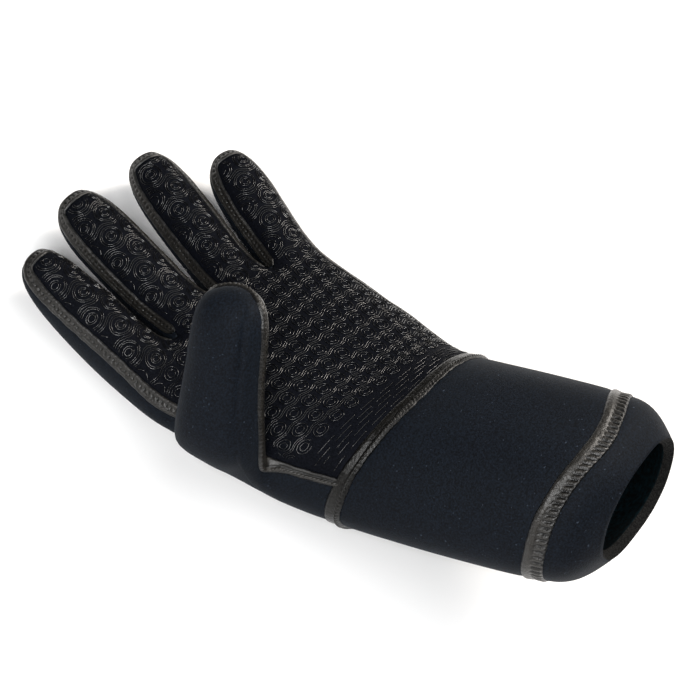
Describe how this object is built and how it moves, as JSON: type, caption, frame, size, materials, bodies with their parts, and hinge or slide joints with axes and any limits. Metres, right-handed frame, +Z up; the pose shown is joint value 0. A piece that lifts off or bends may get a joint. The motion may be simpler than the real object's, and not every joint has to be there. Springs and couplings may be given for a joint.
{
  "type": "diving glove",
  "caption": "Left-hand wetsuit glove of thick foam with a grip palm, taped seams and a sealed cuff with an open mouth.",
  "frame": {"origin": "under the middle of the glove as it lies on the back of the hand, at floor level", "axes": "+Y runs from the cuff to the finger tips, +Z up out of the palm, the thumb is on the -X side"},
  "size_m": [0.1556, 0.2814, 0.1092],
  "materials": {
    "neoprene": "very dark navy nylon jersey bonded to foam, soft matt sheen, fine knit grain",
    "grip_fabric": "black stretch fabric with raised glossy rubber print for grip",
    "seam_tape": "dark grey leathery tape over the seams, creased, with stitch dimples"
  },
  "bodies": {
    "root": {"palm_panel": "grip_fabric", "back_panel": "neoprene", "cuff_sleeve": "neoprene", "cuff_end": "neoprene", "seam_thumb": "seam_tape", "seam_index": "seam_tape", "seam_middle": "seam_tape", "seam_ring": "seam_tape", "seam_little": "seam_tape", "wrist_seam": "seam_tape", "cuff_seam": "seam_tape"}
  },
  "joints": []
}
